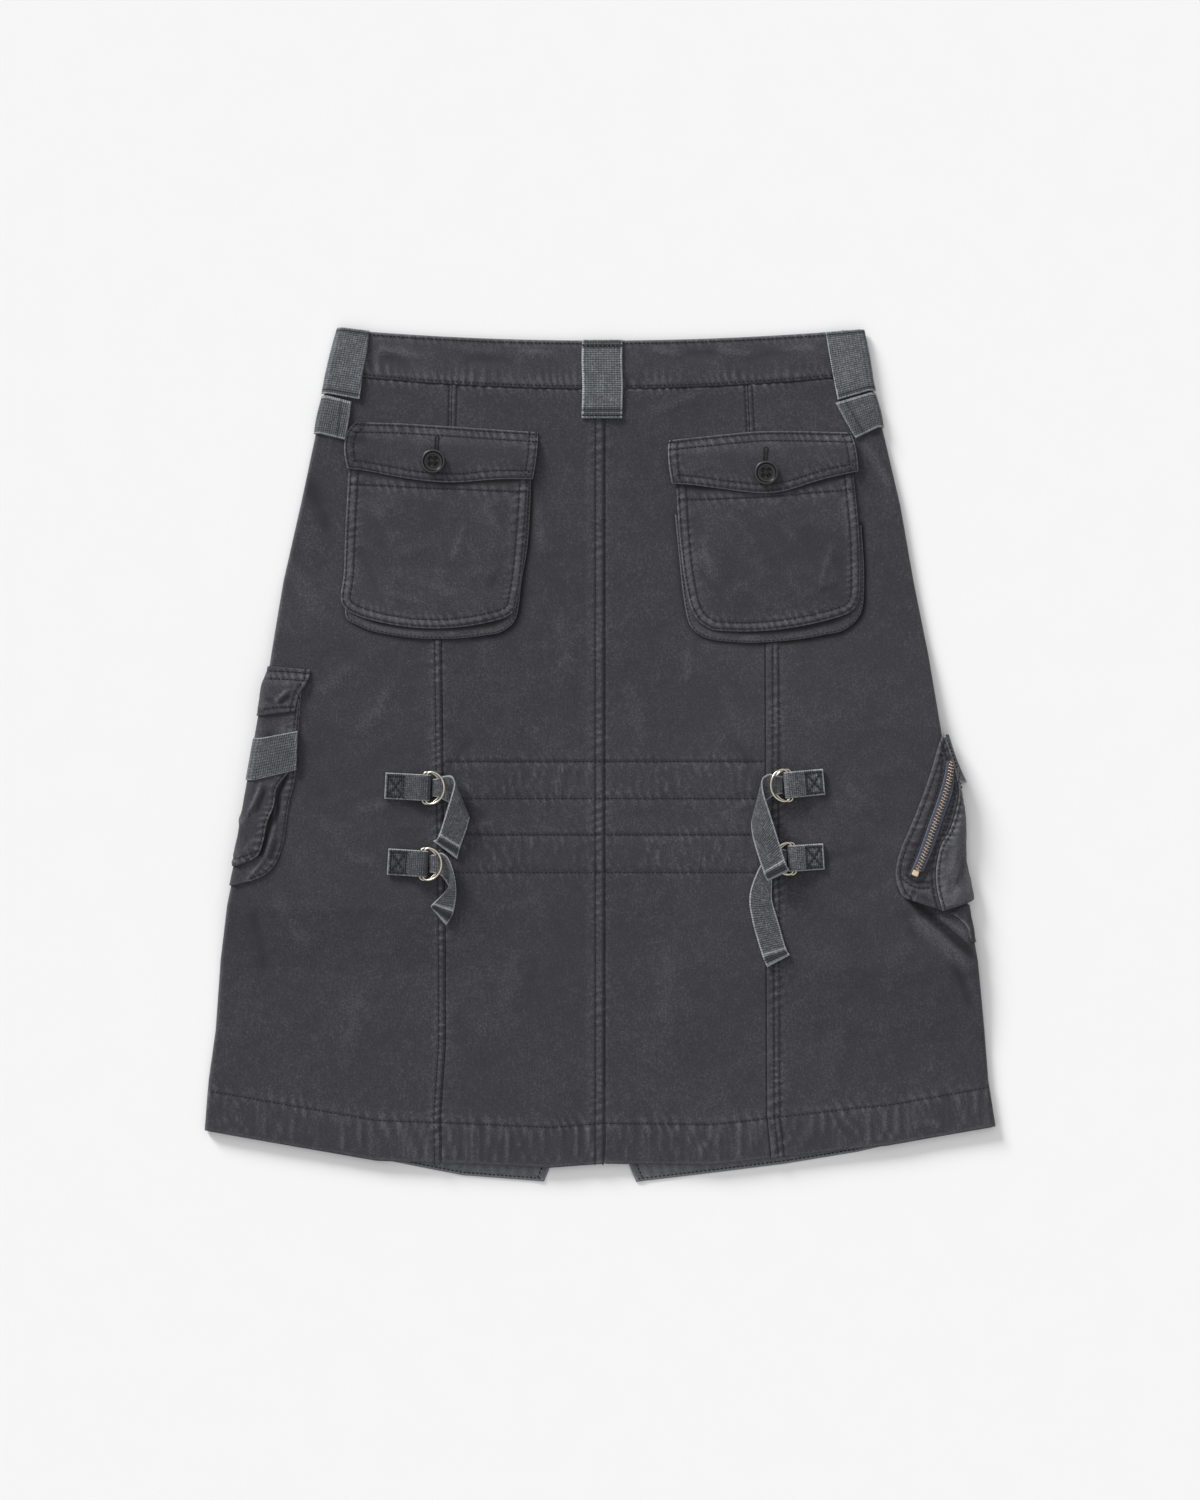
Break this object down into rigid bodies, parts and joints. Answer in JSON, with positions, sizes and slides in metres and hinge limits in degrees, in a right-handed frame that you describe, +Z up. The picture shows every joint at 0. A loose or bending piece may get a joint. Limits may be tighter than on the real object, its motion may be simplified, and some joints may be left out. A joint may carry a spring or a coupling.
{
  "type": "cargo utility skirt",
  "caption": "Knee-length cotton cargo skirt laid flat with its back upwards: gathered casings, webbing straps with paired rings, flap pockets, a side cargo pocket and a side zip pocket.",
  "frame": {"origin": "centre of the base of the bounding box, on the surface that the skirt lies on", "axes": "+Z up from the surface, +Y from hem to waist, +X to the right of the skirt's back as seen from above"},
  "size_m": [0.5923, 0.64, 0.0217],
  "materials": {
    "cloth": "garment-washed charcoal cotton, fine weave with pale worn ridges",
    "waistband_cloth": "garment-washed charcoal cotton, doubled",
    "loop_webbing": "ribbed grey cotton webbing with pale selvedges",
    "strap_webbing": "ribbed dark grey cotton webbing with pale selvedges",
    "zip_tape": "woven blue-grey zip tape",
    "zip_brass": "coppery brass, lightly aged",
    "ring_metal": "pale antique metal wire, satin",
    "button_plastic": "near-black resin, satin"
  },
  "bodies": {
    "root": {"back_center_left": "cloth", "back_center_right": "cloth", "back_side_left": "cloth", "back_side_right": "cloth", "front_left": "cloth", "front_right": "cloth", "waistband_back": "waistband_cloth", "waistband_front_left": "waistband_cloth", "waistband_front_right": "waistband_cloth", "belt_loop_back": "loop_webbing", "belt_loop_left": "loop_webbing", "belt_loop_right": "loop_webbing", "side_band_left": "loop_webbing", "side_band_right": "loop_webbing", "pocket_left_gusset": "cloth", "pocket_left_body": "cloth", "pocket_left_flap": "cloth", "pocket_left_button": "button_plastic", "pocket_right_gusset": "cloth", "pocket_right_body": "cloth", "pocket_right_flap": "cloth", "pocket_right_button": "button_plastic", "cargo_base": "cloth", "cargo_pouch": "cloth", "cargo_flap": "cloth", "cargo_strap": "loop_webbing", "zip_pocket_face": "cloth", "zip_pocket_outer": "cloth", "zip_pocket_patch": "cloth", "zip_tape": "zip_tape", "zip_chain": "zip_brass", "zip_stop": "zip_brass", "zip_pull": "strap_webbing", "tab_upper_left": "strap_webbing", "ring_upper_left_low": "ring_metal", "ring_upper_left_high": "ring_metal", "tab_lower_left": "strap_webbing", "ring_lower_left_low": "ring_metal", "ring_lower_left_high": "ring_metal", "tab_upper_right": "strap_webbing", "ring_upper_right_low": "ring_metal", "ring_upper_right_high": "ring_metal", "tab_lower_right": "strap_webbing", "ring_lower_right_low": "ring_metal", "ring_lower_right_high": "ring_metal", "strap_upper_left": "strap_webbing", "strap_lower_left": "strap_webbing", "strap_upper_right": "strap_webbing", "strap_lower_right": "strap_webbing"}
  },
  "joints": []
}
